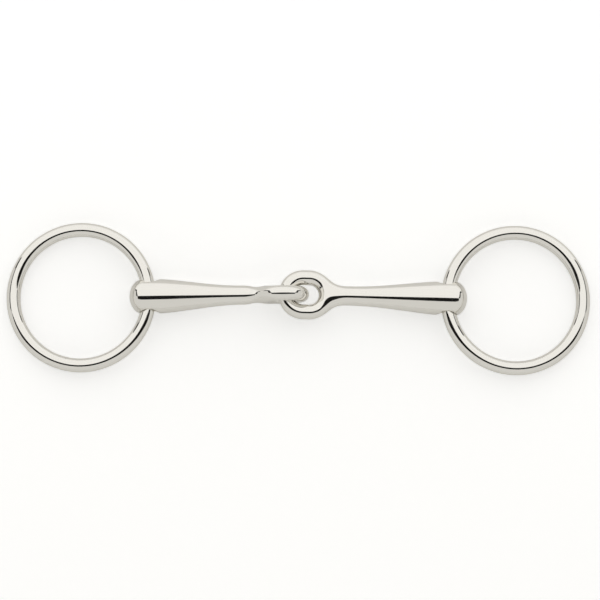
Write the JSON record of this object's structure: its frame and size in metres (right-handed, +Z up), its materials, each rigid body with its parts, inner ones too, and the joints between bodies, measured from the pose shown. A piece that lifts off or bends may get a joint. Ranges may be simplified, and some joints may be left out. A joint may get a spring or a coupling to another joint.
{
  "type": "snaffle bit",
  "caption": "Loose-ring snaffle bit for a bridle: a jointed steel mouthpiece of two tapered cannons linked at the middle, with a round ring running through each outer end.",
  "frame": {"origin": "on the surface that the bit lies on, under the middle of its length and width", "axes": "+X along the mouthpiece towards the cannon whose eye lies flat, +Y across it in the plane of the rings, +Z up from the surface"},
  "size_m": [0.2574, 0.0674, 0.0218],
  "materials": {
    "mouthpiece_steel": "stainless steel casting, mirror polished",
    "ring_steel": "stainless steel wire, bent, butt welded and mirror polished"
  },
  "bodies": {
    "left_cannon": {"left_cannon": "mouthpiece_steel"},
    "right_cannon": {"right_cannon": "mouthpiece_steel"},
    "left_ring": {"left_ring": "ring_steel"},
    "right_ring": {"right_ring": "ring_steel"}
  },
  "joints": [
    {"name": "mouthpiece_fold", "type": "hinge", "parent": "left_cannon", "child": "right_cannon", "pos_m": [-0.00543, 0.00148, 0.01091], "axis": [0.0209, 0.9998, 0], "range_deg": [-80, 80]},
    {"name": "left_ring_swing", "type": "hinge", "parent": "left_cannon", "child": "left_ring", "pos_m": [-0.06548, 0.0009, 0.0077], "axis": [-0.0087, 1, 0], "range_deg": [-90, 90]},
    {"name": "right_ring_swing", "type": "hinge", "parent": "right_cannon", "child": "right_ring", "pos_m": [0.06548, 0, 0.0077], "axis": [0.0209, 0.9998, 0], "range_deg": [-90, 90]}
  ]
}
